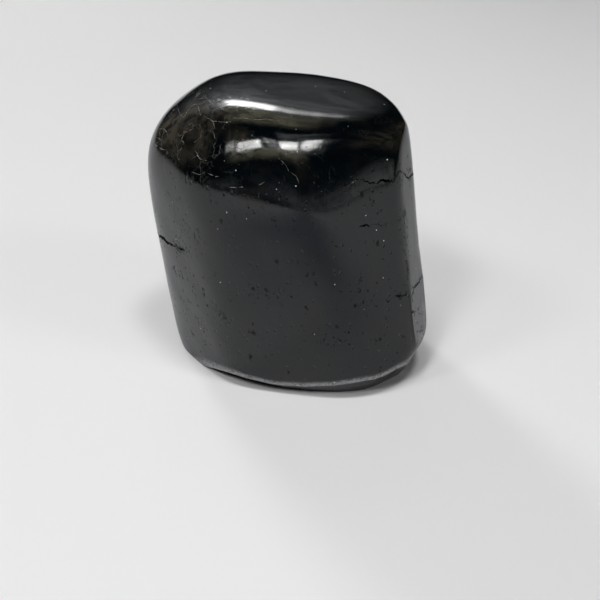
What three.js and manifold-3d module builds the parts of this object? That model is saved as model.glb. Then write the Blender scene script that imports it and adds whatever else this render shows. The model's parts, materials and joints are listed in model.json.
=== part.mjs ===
// Black tourmaline: a short, three-sided crystal column worn smooth in a tumbler, standing on its flat end.
// Millimetres. +Z is up, +X is to the right and +Y is away from the front.
// The origin is on the surface that the stone stands on, under the middle of its box.
import * as THREE from 'three';
import { mergeVertices } from 'three/addons/utils/BufferGeometryUtils.js';
import Module from 'manifold-3d';

const wasm = await Module();
wasm.setup();

// ---------------------------------------------------------------- driving dimensions

// The heart is the point that every face is measured from.
const heart = new THREE.Vector3(-0.46, -0.02, 19);

// The crystal's long axis leans this many degrees to the left.
const leanDegrees = 7;

// The skin is found along rays from the heart, no further out than this.
const longestReach = 40;

// How finely the skin is faceted: each side of the starting icosahedron is cut into one more edge than this.
const skinDetail = 19;

// The faces that the tumbler polished. Each is a plane: azimuth turns from the front (0) to the right (90)
// and back (180), tilt is how far it faces up, distance is from the heart, and wear is how softly it runs
// into its neighbours. The column's own faces lean with the crystal, and the ones worn onto its ends don't.
const polishedFaces = [
  // around the column
  { name: 'front left', azimuth: -52, tilt: 0, distance: 15.1, wear: 1.1, leans: true },
  { name: 'front', azimuth: -12, tilt: -2, distance: 14, wear: 1.3, leans: true },
  { name: 'front right', azimuth: 25, tilt: 1.8, distance: 16.5, wear: 0.9, leans: true },
  { name: 'right corner', azimuth: 64, tilt: 0.3, distance: 20.1, wear: 0.4, leans: true },
  { name: 'right', azimuth: 98, tilt: 0, distance: 17.7, wear: 1, leans: true },
  { name: 'back right', azimuth: 130, tilt: 0, distance: 16.8, wear: 2, leans: true },
  { name: 'back', azimuth: 165, tilt: 0, distance: 14.5, wear: 2, leans: true },
  { name: 'back left', azimuth: 215, tilt: 0, distance: 15.8, wear: 2, leans: true },
  { name: 'left', azimuth: 270, tilt: 1.5, distance: 19.4, wear: 1.7, leans: true },
  // across the top
  { name: 'top', azimuth: 80, tilt: 83, distance: 20.9, wear: 1, leans: false },
  { name: 'brow', azimuth: 4, tilt: 64, distance: 22.1, wear: 1.2, leans: false },
  { name: 'right brow', azimuth: 60, tilt: 60, distance: 24.6, wear: 1.2, leans: false },
  { name: 'front shoulder', azimuth: -4, tilt: 30, distance: 18.7, wear: 1.2, leans: false },
  { name: 'front right shoulder', azimuth: 16, tilt: 30, distance: 19.6, wear: 0.9, leans: false },
  { name: 'front left shoulder', azimuth: -50, tilt: 30, distance: 19.9, wear: 1.3, leans: false },
  { name: 'left crown', azimuth: -100, tilt: 66, distance: 24.2, wear: 1.4, leans: false },
  { name: 'left shoulder', azimuth: -90, tilt: 42, distance: 24.2, wear: 2.4, leans: false },
  { name: 'right shoulder', azimuth: 80, tilt: 40, distance: 26.4, wear: 1.2, leans: false },
  { name: 'back shoulder', azimuth: 180, tilt: 50, distance: 22.5, wear: 2, leans: false },
  // under the sides
  { name: 'left under-edge', azimuth: -100, tilt: -50, distance: 26.4, wear: 0.9, leans: false },
  { name: 'right under-edge', azimuth: 69, tilt: -29, distance: 25.05, wear: 0.5, leans: false },
];

// Flats that keep a crisp edge, where the column has split along its length and been polished again.
const flats = [
  { name: 'right strip', azimuth: 68, tilt: 1.6, distance: 18.8, leans: true },
];

// The flat base, and the bevels that are worn along its front edge, from left to right.
const base = { azimuth: 0, tilt: -90, distance: heart.z, leans: false };
const bevels = [
  { name: 'left bevel', azimuth: -28, tilt: -48, distance: 21.45, leans: false },
  { name: 'front left bevel', azimuth: -14, tilt: -46, distance: 21.5, leans: false },
  { name: 'front bevel', azimuth: -2, tilt: -40, distance: 21.55, leans: false },
  { name: 'front right bevel', azimuth: 14, tilt: -36, distance: 22.65, leans: false },
  { name: 'right bevel', azimuth: 38, tilt: -36, distance: 24.5, leans: false },
  { name: 'far right bevel', azimuth: 57, tilt: -30, distance: 25.4, leans: false },
];

// How much is worn off the edge between one bevel and the next.
const bevelEdgeWear = 0.14;

// Slow swells that the tumbler left in the polish: height, length from crest to crest and direction.
const swells = [
  { height: 0.06, length: 11, direction: [0.9, 0.3, 0.35], phase: 0.4 },
  { height: 0.05, length: 8.5, direction: [-0.35, 0.5, 0.8], phase: 2.1 },
  { height: 0.03, length: 6, direction: [0.6, -0.5, 0.65], phase: 4.0 },
];

// Open cracks across the column, where it has begun to part: the width at the skin, the depth, and the path
// through [azimuth, height] points.
const cracks = [
  { width: 0.42, depth: 1.1, path: [[-93, 18.4], [-86, 18.6], [-79, 18.9], [-73, 18.9]] },
  { width: 0.2, depth: 0.5, path: [[-73, 18.9], [-67, 19.3], [-60, 19.6]] },
  { width: 0.28, depth: 0.6, path: [[-76.4, 15.4], [-76.6, 14]] },
  { width: 0.26, depth: 0.5, path: [[36, 25.8], [41, 25.8]] },
  { width: 0.28, depth: 0.6, path: [[40, 31.4], [46, 31.1], [52, 30.8], [59, 31.3], [65, 30.1], [76, 29.3]] },
  { width: 0.24, depth: 0.6, path: [[51, 15.1], [57, 14.9], [63, 14.8], [70, 14.5], [77, 14.7]] },
  { width: 0.2, depth: 0.5, path: [[58, 12], [62, 11.4], [66, 11.1]] },
  { width: 0.3, depth: 0.9, path: [[150, 24.2], [161, 23.6], [172, 24], [184, 23.3]] },
  { width: 0.24, depth: 0.7, path: [[-142, 12.8], [-133, 12.3], [-122, 12.9]] },
];

// Pits where grains broke out: [azimuth, height, length along the column, width, depth].
const pits = [
  [-50, 22.7, 0.6, 0.5, 0.35],
  [-47, 24.1, 0.4, 0.4, 0.3],
  [-69, 19.5, 0.6, 0.5, 0.4],
  [-65, 19.3, 0.6, 0.5, 0.4],
  [-69, 14.7, 0.5, 0.5, 0.35],
  [-50, 14, 0.5, 0.4, 0.3],
  [-38.5, 11.9, 0.8, 0.6, 0.4],
  [-35, 11.5, 0.5, 0.4, 0.3],
  [-69, 5.1, 0.6, 0.6, 0.4],
  [-56, 6.9, 0.5, 0.5, 0.3],
  [-18.5, 10, 0.8, 0.5, 0.35],
  [-21.5, 5.8, 0.8, 0.45, 0.35],
  [-5, 27.5, 0.5, 0.6, 0.35],
  [11, 20, 0.5, 0.4, 0.3],
  [20, 10, 1, 0.4, 0.35],
  [25, 12, 0.5, 0.4, 0.3],
  [36, 18.6, 0.6, 0.4, 0.35],
  [39, 16.9, 0.5, 0.35, 0.3],
  [42, 29.3, 0.6, 0.5, 0.35],
  [44, 23.1, 0.5, 0.4, 0.3],
  [47, 12.3, 0.5, 0.4, 0.3],
  [59, 26, 0.8, 0.5, 0.4],
  [58, 19.2, 0.9, 0.5, 0.4],
  [58, 17.9, 0.6, 0.5, 0.35],
  [138, 15.5, 0.7, 0.5, 0.4],
  [176, 9, 0.6, 0.5, 0.35],
  [-158, 27.5, 0.6, 0.5, 0.35],
  [-120, 24, 0.5, 0.5, 0.3],
  [105, 21, 0.6, 0.4, 0.35],
];

// Each stretch of a crack runs past its ends by this much, so that the stretches meet.
const crackOverrun = 1.3;

// A point this close to a flat's plane lies on the flat.
const flatTolerance = 0.001;

// ---------------------------------------------------------------- the worn skin

const degrees = THREE.MathUtils.degToRad;
const lean = new THREE.Matrix4().makeRotationY(-degrees(leanDegrees));

function outward(azimuth, tilt) {
  const a = degrees(azimuth);
  const t = degrees(tilt);
  return new THREE.Vector3(Math.sin(a) * Math.cos(t), -Math.cos(a) * Math.cos(t), Math.sin(t));
}

for (const face of [...polishedFaces, ...flats, base, ...bevels]) {
  face.normal = outward(face.azimuth, face.tilt);
  if (face.leans) face.normal.applyMatrix4(lean);
}

for (const swell of swells) {
  swell.wave = new THREE.Vector3(...swell.direction).setLength(2 * Math.PI / swell.length);
}

// How much a polished face adds at a point: 1 on its own plane, less inside it and more outside.
function faceShare(face, point) {
  return Math.exp((face.normal.dot(point) - face.distance) / face.wear);
}

// Below 1 inside the stone, 1 on its skin and above 1 outside: every face adds its share, so where two faces
// meet the skin draws in behind the sharp edge that they would make.
function pressure(point) {
  let sum = 0;
  for (const face of polishedFaces) sum += faceShare(face, point);
  return sum;
}

// The skin's point along a direction from the heart, still measured from the heart.
function skinAlong(direction) {
  const point = new THREE.Vector3();
  let inside = 0;
  let outside = longestReach;
  for (let step = 0; step < 40; step++) {
    const middle = (inside + outside) / 2;
    point.copy(direction).multiplyScalar(middle);
    if (pressure(point) < 1) inside = middle;
    else outside = middle;
  }
  point.copy(direction).multiplyScalar(inside);
  let swelling = 0;
  for (const swell of swells) swelling += swell.height * Math.sin(swell.wave.dot(point) + swell.phase);
  return point.addScaledVector(direction, swelling);
}

// The same once the flats are ground into the skin.
function groundSkinAlong(direction) {
  const point = skinAlong(direction);
  for (const flat of flats) {
    const reach = flat.normal.dot(point) / flat.distance;
    if (reach > 1) point.divideScalar(reach);
  }
  return point;
}

// The skin's point at an azimuth around the stone and a height above the surface that it stands on.
function skinAt(azimuth, height) {
  let low = -89;
  let high = 89;
  let point;
  for (let step = 0; step < 40; step++) {
    const middle = (low + high) / 2;
    point = groundSkinAlong(outward(azimuth, middle));
    if (point.z + heart.z < height) low = middle;
    else high = middle;
  }
  return point.add(heart);
}

// The direction straight out of the skin at a point on it.
function skinNormal(point) {
  const local = point.clone().sub(heart);
  const flat = flats.find((face) => face.normal.dot(local) > face.distance - flatTolerance);
  if (flat) return flat.normal.clone();
  const normal = new THREE.Vector3();
  for (const face of polishedFaces) normal.addScaledVector(face.normal, faceShare(face, local) / face.wear);
  return normal.normalize();
}

// ---------------------------------------------------------------- solids

function solidFrom(geometry) {
  const bare = geometry.clone();
  bare.deleteAttribute('normal');
  bare.deleteAttribute('uv');
  const merged = mergeVertices(bare);
  const vertProperties = new Float32Array(merged.attributes.position.array);
  const triVerts = new Uint32Array(merged.index.array);
  return new wasm.Manifold(new wasm.Mesh({ numProp: 3, vertProperties, triVerts }));
}

function geometryFrom(solid) {
  const mesh = solid.getMesh();
  const geometry = new THREE.BufferGeometry();
  geometry.setAttribute('position', new THREE.BufferAttribute(new Float32Array(mesh.vertProperties), 3));
  geometry.setIndex(new THREE.BufferAttribute(new Uint32Array(mesh.triVerts), 1));
  geometry.computeVertexNormals();
  return geometry;
}

// The polished column, whose walls run on below the foot: an icosphere with each corner moved to the skin.
function wornColumn() {
  const geometry = new THREE.IcosahedronGeometry(1, skinDetail);
  const corners = geometry.attributes.position;
  const direction = new THREE.Vector3();
  for (let i = 0; i < corners.count; i++) {
    direction.fromBufferAttribute(corners, i).normalize();
    const point = skinAlong(direction).add(heart);
    corners.setXYZ(i, point.x, point.y, point.z);
  }
  return solidFrom(geometry);
}

// What is left of a solid inside a face's plane.
function sawn(solid, face) {
  const inwards = face.normal.clone().negate();
  return solid.trimByPlane(inwards.toArray(), inwards.dot(heart) - face.distance);
}

// The narrow face that wear puts on the edge between two others.
function wornEdge(first, second) {
  const normal = first.normal.clone().add(second.normal);
  const distance = (first.distance + second.distance) / normal.length() - bevelEdgeWear;
  return { normal: normal.normalize(), distance };
}

// A sharp-ended sliver that is cut out of the skin: long along one direction, thin across it, and as deep
// into the stone as it stands out of it.
function sliver(point, along, length, width, depth) {
  const out = skinNormal(point);
  const across = new THREE.Vector3().crossVectors(out, along).normalize();
  const run = new THREE.Vector3().crossVectors(across, out).normalize();
  const geometry = new THREE.OctahedronGeometry(1);
  geometry.scale(length / 2, width / 2, depth);
  geometry.applyMatrix4(new THREE.Matrix4().makeBasis(run, across, out));
  geometry.translate(point.x, point.y, point.z);
  return solidFrom(geometry);
}

function crackSlivers({ path, width, depth }) {
  const points = path.map(([azimuth, height]) => skinAt(azimuth, height));
  const slivers = [];
  for (let i = 1; i < points.length; i++) {
    const along = points[i].clone().sub(points[i - 1]);
    const middle = points[i].clone().add(points[i - 1]).multiplyScalar(0.5);
    const outwards = middle.clone().sub(heart).normalize();
    const onSkin = groundSkinAlong(outwards).add(heart);
    slivers.push(sliver(onSkin, along, along.length() * crackOverrun, width, depth));
  }
  return slivers;
}

function pitSliver([azimuth, height, length, width, depth]) {
  const columnAxis = new THREE.Vector3(0, 0, 1).applyMatrix4(lean);
  return sliver(skinAt(azimuth, height), columnAxis, length, width, depth);
}

function tourmalineStone() {
  const wornEdges = bevels.slice(1).map((bevel, i) => wornEdge(bevels[i], bevel));
  let solid = [...flats, base, ...bevels, ...wornEdges].reduce(sawn, wornColumn());
  for (const cut of [...cracks.flatMap(crackSlivers), ...pits.map(pitSliver)]) solid = solid.subtract(cut);
  return geometryFrom(solid);
}

// ---------------------------------------------------------------- the part

const polishedBlack = new THREE.MeshStandardMaterial({ color: 0x0b0b0c, roughness: 0.12, metalness: 0 });

const stone = new THREE.Mesh(tourmalineStone(), polishedBlack);
stone.name = 'stone';

const part = new THREE.Group();
part.add(stone);

export default part;
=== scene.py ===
import json
import math
import random

import bmesh
import bpy
import numpy as np
from mathutils import Matrix, Vector

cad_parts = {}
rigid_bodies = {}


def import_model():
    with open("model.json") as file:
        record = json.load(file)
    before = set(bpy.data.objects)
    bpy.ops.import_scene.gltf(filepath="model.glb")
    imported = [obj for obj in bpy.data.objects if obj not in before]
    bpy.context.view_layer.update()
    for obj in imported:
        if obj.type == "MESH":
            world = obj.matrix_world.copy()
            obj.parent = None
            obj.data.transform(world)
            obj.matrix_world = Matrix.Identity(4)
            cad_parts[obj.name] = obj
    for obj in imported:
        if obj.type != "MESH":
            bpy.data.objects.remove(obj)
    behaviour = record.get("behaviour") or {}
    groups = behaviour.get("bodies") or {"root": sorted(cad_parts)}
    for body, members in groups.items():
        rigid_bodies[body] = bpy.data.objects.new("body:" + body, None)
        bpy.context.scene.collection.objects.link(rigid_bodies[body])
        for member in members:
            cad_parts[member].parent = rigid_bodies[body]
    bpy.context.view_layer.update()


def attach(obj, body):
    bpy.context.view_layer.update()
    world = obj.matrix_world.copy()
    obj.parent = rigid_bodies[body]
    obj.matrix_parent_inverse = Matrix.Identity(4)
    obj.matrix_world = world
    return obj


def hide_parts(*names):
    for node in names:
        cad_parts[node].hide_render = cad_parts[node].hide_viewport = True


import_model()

mm = 0.001


# ---- small helpers

def deselectAll():
    if bpy.context.object and bpy.context.object.mode != "OBJECT":
        bpy.ops.object.mode_set(mode="OBJECT")
    bpy.ops.object.select_all(action="DESELECT")


def makeActive(piece):
    deselectAll()
    piece.select_set(True)
    bpy.context.view_layer.objects.active = piece


def applyModifier(piece, kind, **settings):
    makeActive(piece)
    modifier = piece.modifiers.new(kind.title(), kind)
    for name, value in settings.items():
        setattr(modifier, name, value)
    bpy.ops.object.modifier_apply(modifier=modifier.name)


def applyPlace(piece):
    makeActive(piece)
    bpy.ops.object.transform_apply(location=True, rotation=True, scale=True)


# ---- the stone's shape

# Faces of the worn column. Azimuth turns from the front (0) to the right (90) and the back (180), tilt is
# how far a face looks up, distance (mm) is from the heart, and wear (mm) is how softly it runs into its
# neighbours. Faces that lean follow the crystal's own axis.
stoneShape = {
    "heart": (-0.46, -0.02, 19.0),
    "leanDegrees": 7.0,
    "polished": [
        {"azimuth": -52, "tilt": 0, "distance": 15.1, "wear": 1.1, "leans": True},    # front left
        {"azimuth": -12, "tilt": -2, "distance": 14.0, "wear": 1.3, "leans": True},   # front
        {"azimuth": 25, "tilt": 1.8, "distance": 16.5, "wear": 0.9, "leans": True},   # front right
        {"azimuth": 64, "tilt": 0.3, "distance": 20.1, "wear": 0.4, "leans": True},   # right corner
        {"azimuth": 98, "tilt": 0, "distance": 17.7, "wear": 1.0, "leans": True},     # right
        {"azimuth": 130, "tilt": 0, "distance": 16.8, "wear": 2.0, "leans": True},    # back right
        {"azimuth": 165, "tilt": 0, "distance": 14.5, "wear": 2.0, "leans": True},    # back
        {"azimuth": 215, "tilt": 0, "distance": 15.8, "wear": 2.0, "leans": True},    # back left
        {"azimuth": 270, "tilt": 1.5, "distance": 19.4, "wear": 1.7, "leans": True},  # left
        {"azimuth": 80, "tilt": 83, "distance": 20.9, "wear": 1.0, "leans": False},   # top
        {"azimuth": 4, "tilt": 64, "distance": 22.1, "wear": 1.2, "leans": False},    # brow
        {"azimuth": 60, "tilt": 60, "distance": 24.6, "wear": 1.2, "leans": False},   # right brow
        {"azimuth": -4, "tilt": 30, "distance": 18.7, "wear": 1.2, "leans": False},   # front shoulder
        {"azimuth": 16, "tilt": 30, "distance": 19.6, "wear": 0.9, "leans": False},   # front right shoulder
        {"azimuth": -50, "tilt": 30, "distance": 19.9, "wear": 1.3, "leans": False},  # front left shoulder
        {"azimuth": -100, "tilt": 66, "distance": 24.2, "wear": 1.4, "leans": False},  # left crown
        {"azimuth": -90, "tilt": 42, "distance": 24.2, "wear": 2.4, "leans": False},  # left shoulder
        {"azimuth": 80, "tilt": 40, "distance": 26.4, "wear": 1.2, "leans": False},   # right shoulder
        {"azimuth": 180, "tilt": 50, "distance": 22.5, "wear": 2.0, "leans": False},  # back shoulder
        {"azimuth": -100, "tilt": -50, "distance": 26.4, "wear": 0.9, "leans": False},  # left under-edge
        {"azimuth": 69, "tilt": -29, "distance": 25.05, "wear": 0.5, "leans": False},  # right under-edge
    ],
    # ground flat after the tumbling: the strip along the right side keeps a crisp edge
    "flats": [
        {"azimuth": 68, "tilt": 1.6, "distance": 18.8, "leans": True},
    ],
    "flatWear": 1.0,        # mm, how softly the flat's edge is worn above the break across it
    "leastWear": 0.15,      # mm, with less wear than this the edge stays crisp
    "flatWearHeights": (13.5, 19.0),  # mm, where that wear begins and is full
    "flatSink": 0.03,       # mm that the worn part lies below the ground part
    # worn along the front edge of the foot, from left to right
    "bevels": [
        {"azimuth": -28, "tilt": -48, "distance": 21.45, "leans": False},
        {"azimuth": -14, "tilt": -46, "distance": 21.5, "leans": False},
        {"azimuth": -2, "tilt": -40, "distance": 21.55, "leans": False},
        {"azimuth": 14, "tilt": -36, "distance": 22.65, "leans": False},
        {"azimuth": 38, "tilt": -36, "distance": 24.5, "leans": False},
        {"azimuth": 57, "tilt": -30, "distance": 25.4, "leans": False},
    ],
    "bevelEdgeWear": 0.14,  # mm worn off the edge between one bevel and the next
    "swells": [
        {"height": 0.04, "length": 11.0, "direction": (0.9, 0.3, 0.35), "phase": 0.4},
        {"height": 0.035, "length": 8.5, "direction": (-0.35, 0.5, 0.8), "phase": 2.1},
        {"height": 0.015, "length": 6.0, "direction": (0.6, -0.5, 0.65), "phase": 4.0},
    ],
    "meshSize": 0.38,       # mm between the fine mesh's points
    "blankSide": 80.0,      # mm, the block that the planes are sawn from
    "spareFoot": 1.5,       # mm that the column runs on below the floor until its foot is ground flat
    "rippleHeight": 0.03,   # mm
    "rippleLength": 2.4,    # mm
    "sharpAngle": 26.0,     # degrees, an edge that turns more than this stays sharp
}

heart = Vector(stoneShape["heart"]) * mm
lean = Matrix.Rotation(-math.radians(stoneShape["leanDegrees"]), 3, "Y")


def outward(azimuth, tilt):
    a = math.radians(azimuth)
    t = math.radians(tilt)
    return Vector((math.sin(a) * math.cos(t), -math.cos(a) * math.cos(t), math.sin(t)))


def faceNormal(face):
    normal = outward(face["azimuth"], face["tilt"])
    return lean @ normal if face["leans"] else normal


def distanceTable(faces):
    return np.array([face["distance"] for face in faces]) * mm


polishedNormals = np.array([faceNormal(face) for face in stoneShape["polished"]])
polishedDistances = distanceTable(stoneShape["polished"])
polishedWears = np.array([face["wear"] for face in stoneShape["polished"]]) * mm
flatPlanes = [(faceNormal(flat), flat["distance"] * mm) for flat in stoneShape["flats"]]


def pressure(points):
    # below 1 inside the stone, 1 on its polished skin, above 1 outside
    beyond = (points @ polishedNormals.T - polishedDistances) / polishedWears
    return np.exp(np.clip(beyond, -60, 12)).sum(axis=1)


def groundPlanes():
    # normal and distance (m) of the base, of every bevel and of the worn edges between the bevels
    planes = [(faceNormal(bevel), bevel["distance"] * mm) for bevel in stoneShape["bevels"]]
    edges = []
    for (firstNormal, firstDistance), (secondNormal, secondDistance) in zip(planes, planes[1:]):
        both = firstNormal + secondNormal
        distance = (firstDistance + secondDistance) / both.length - stoneShape["bevelEdgeWear"] * mm
        edges.append((both.normalized(), distance))
    return [(Vector((0, 0, -1)), heart.z)] + planes + edges


def skinAlong(directions):
    # the skin's point along each direction from the heart, measured from the heart
    directions = directions / np.linalg.norm(directions, axis=1, keepdims=True)
    inside = np.zeros(len(directions))
    outside = np.full(len(directions), stoneShape["blankSide"] / 2 * mm)
    for _ in range(40):
        middle = (inside + outside) / 2
        within = pressure(directions * middle[:, None]) < 1
        inside = np.where(within, middle, inside)
        outside = np.where(within, outside, middle)
    points = directions * inside[:, None]
    swelling = np.zeros(len(points))
    for swell in stoneShape["swells"]:
        wave = Vector(swell["direction"]).normalized() * (2 * math.pi / (swell["length"] * mm))
        swelling += swell["height"] * mm * np.sin(points @ np.array(wave) + swell["phase"])
    return points + directions * swelling[:, None]


def wearFlats(points):
    # the upper part of each flat runs softly into the faces beside it
    low, high = stoneShape["flatWearHeights"]
    wear = np.clip((points[:, 2] / mm + stoneShape["heart"][2] - low) / (high - low), 0, 1)
    wear = wear * stoneShape["flatWear"] * mm
    worn = wear > stoneShape["leastWear"] * mm
    for normal, distance in flatPlanes:
        reach = np.linalg.norm(points, axis=1)
        facing = np.maximum(points @ np.array(normal) / reach, 1e-3)
        toFlat = (distance - stoneShape["flatSink"] * mm) / facing
        overlap = np.maximum(wear - np.abs(reach - toFlat), 0)
        fused = np.minimum(reach, toFlat) - overlap ** 2 / np.maximum(4 * wear, 1e-9)
        points = np.where(worn[:, None], points * (fused / reach)[:, None], points)
    return points


def groundSkinAlong(directions):
    # the same once the flats are ground into the skin
    points = wearFlats(skinAlong(directions))
    for normal, distance in flatPlanes:
        beyond = np.maximum(points @ np.array(normal) / distance, 1)
        points = points / beyond[:, None]
    return points


def skinWhere(azimuth, isAbove):
    # the lowest point of the skin at an azimuth around the stone where isAbove holds for the points over it
    low, high = -89.0, 89.0
    for _ in range(3):
        tilts = np.linspace(low, high, 60)
        points = groundSkinAlong(np.array([outward(azimuth, tilt) for tilt in tilts]))
        first = int(np.argmax(isAbove(points)))
        low, high = tilts[max(first - 1, 0)], tilts[first]
    return Vector(points[first]) + heart


def skinAt(azimuth, height):
    # the skin's point at a height (mm) above the floor
    return skinWhere(azimuth, lambda points: points[:, 2] + heart.z > height * mm)


def bevelReach(points):
    # how far points stand beyond the nearest bevel's plane, in mm: 0 on a bevel, below 0 on the wall
    beyond = [points @ np.array(normal) - distance for normal, distance in groundPlanes()[1:]]
    return np.max(beyond, axis=0) / mm


def bevelEdge(azimuth):
    # where the wall turns under to the bevels
    return skinWhere(azimuth, lambda points: bevelReach(points) < 0)


def skinNormal(point):
    step = 0.05 * mm
    tolerance = 0.001 * mm  # this close to a flat's plane, a point is on the flat
    for normal, distance in flatPlanes:
        if (point - heart).dot(normal) > distance - tolerance:
            return normal.copy()
    local = np.array(point - heart)
    offsets = np.vstack([np.eye(3), -np.eye(3)]) * step
    values = pressure(local + offsets)
    return Vector(values[:3] - values[3:]).normalized()


def saw(piece, normal, distance):
    makeActive(piece)
    bpy.ops.object.mode_set(mode="EDIT")
    bpy.ops.mesh.select_all(action="SELECT")
    bpy.ops.mesh.bisect(plane_co=heart + normal * distance, plane_no=normal, use_fill=True, clear_outer=True,
                        threshold=1e-7)
    bpy.ops.object.mode_set(mode="OBJECT")


def sawnBlank():
    # a block sawn along every polished face's plane: the crystal before the tumbler
    deselectAll()
    bpy.ops.mesh.primitive_cube_add(size=stoneShape["blankSide"] * mm, location=heart)
    blank = bpy.context.object
    blank.name = "tourmalineStone"
    applyPlace(blank)
    for face in stoneShape["polished"]:
        saw(blank, faceNormal(face), face["distance"] * mm)
    saw(blank, Vector((0, 0, -1)), heart.z + stoneShape["spareFoot"] * mm)
    makeActive(blank)
    bpy.ops.object.mode_set(mode="EDIT")
    bpy.ops.mesh.select_all(action="SELECT")
    bpy.ops.mesh.normals_make_consistent(inside=False)
    bpy.ops.object.mode_set(mode="OBJECT")
    return blank


def tumble(piece):
    # a fine even mesh, with every point worn back to the skin
    applyModifier(piece, "REMESH", mode="VOXEL", voxel_size=stoneShape["meshSize"] * mm)
    applyModifier(piece, "SMOOTH", factor=0.5, iterations=6)
    mesh = piece.data
    points = np.empty(len(mesh.vertices) * 3)
    mesh.vertices.foreach_get("co", points)
    points = points.reshape(-1, 3)
    points = wearFlats(skinAlong(points - np.array(heart))) + np.array(heart)
    mesh.vertices.foreach_set("co", points.ravel())
    mesh.update()


def ripple(piece):
    clouds = bpy.data.textures.new("polishRipple", "CLOUDS")
    clouds.noise_scale = stoneShape["rippleLength"] * mm
    clouds.noise_depth = 1
    applyModifier(piece, "DISPLACE", texture=clouds, texture_coords="LOCAL",
                  strength=stoneShape["rippleHeight"] * mm, mid_level=0.5)


def grind(piece):
    for normal, distance in flatPlanes + groundPlanes():
        saw(piece, normal, distance)


# ---- cracks and pits

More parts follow.
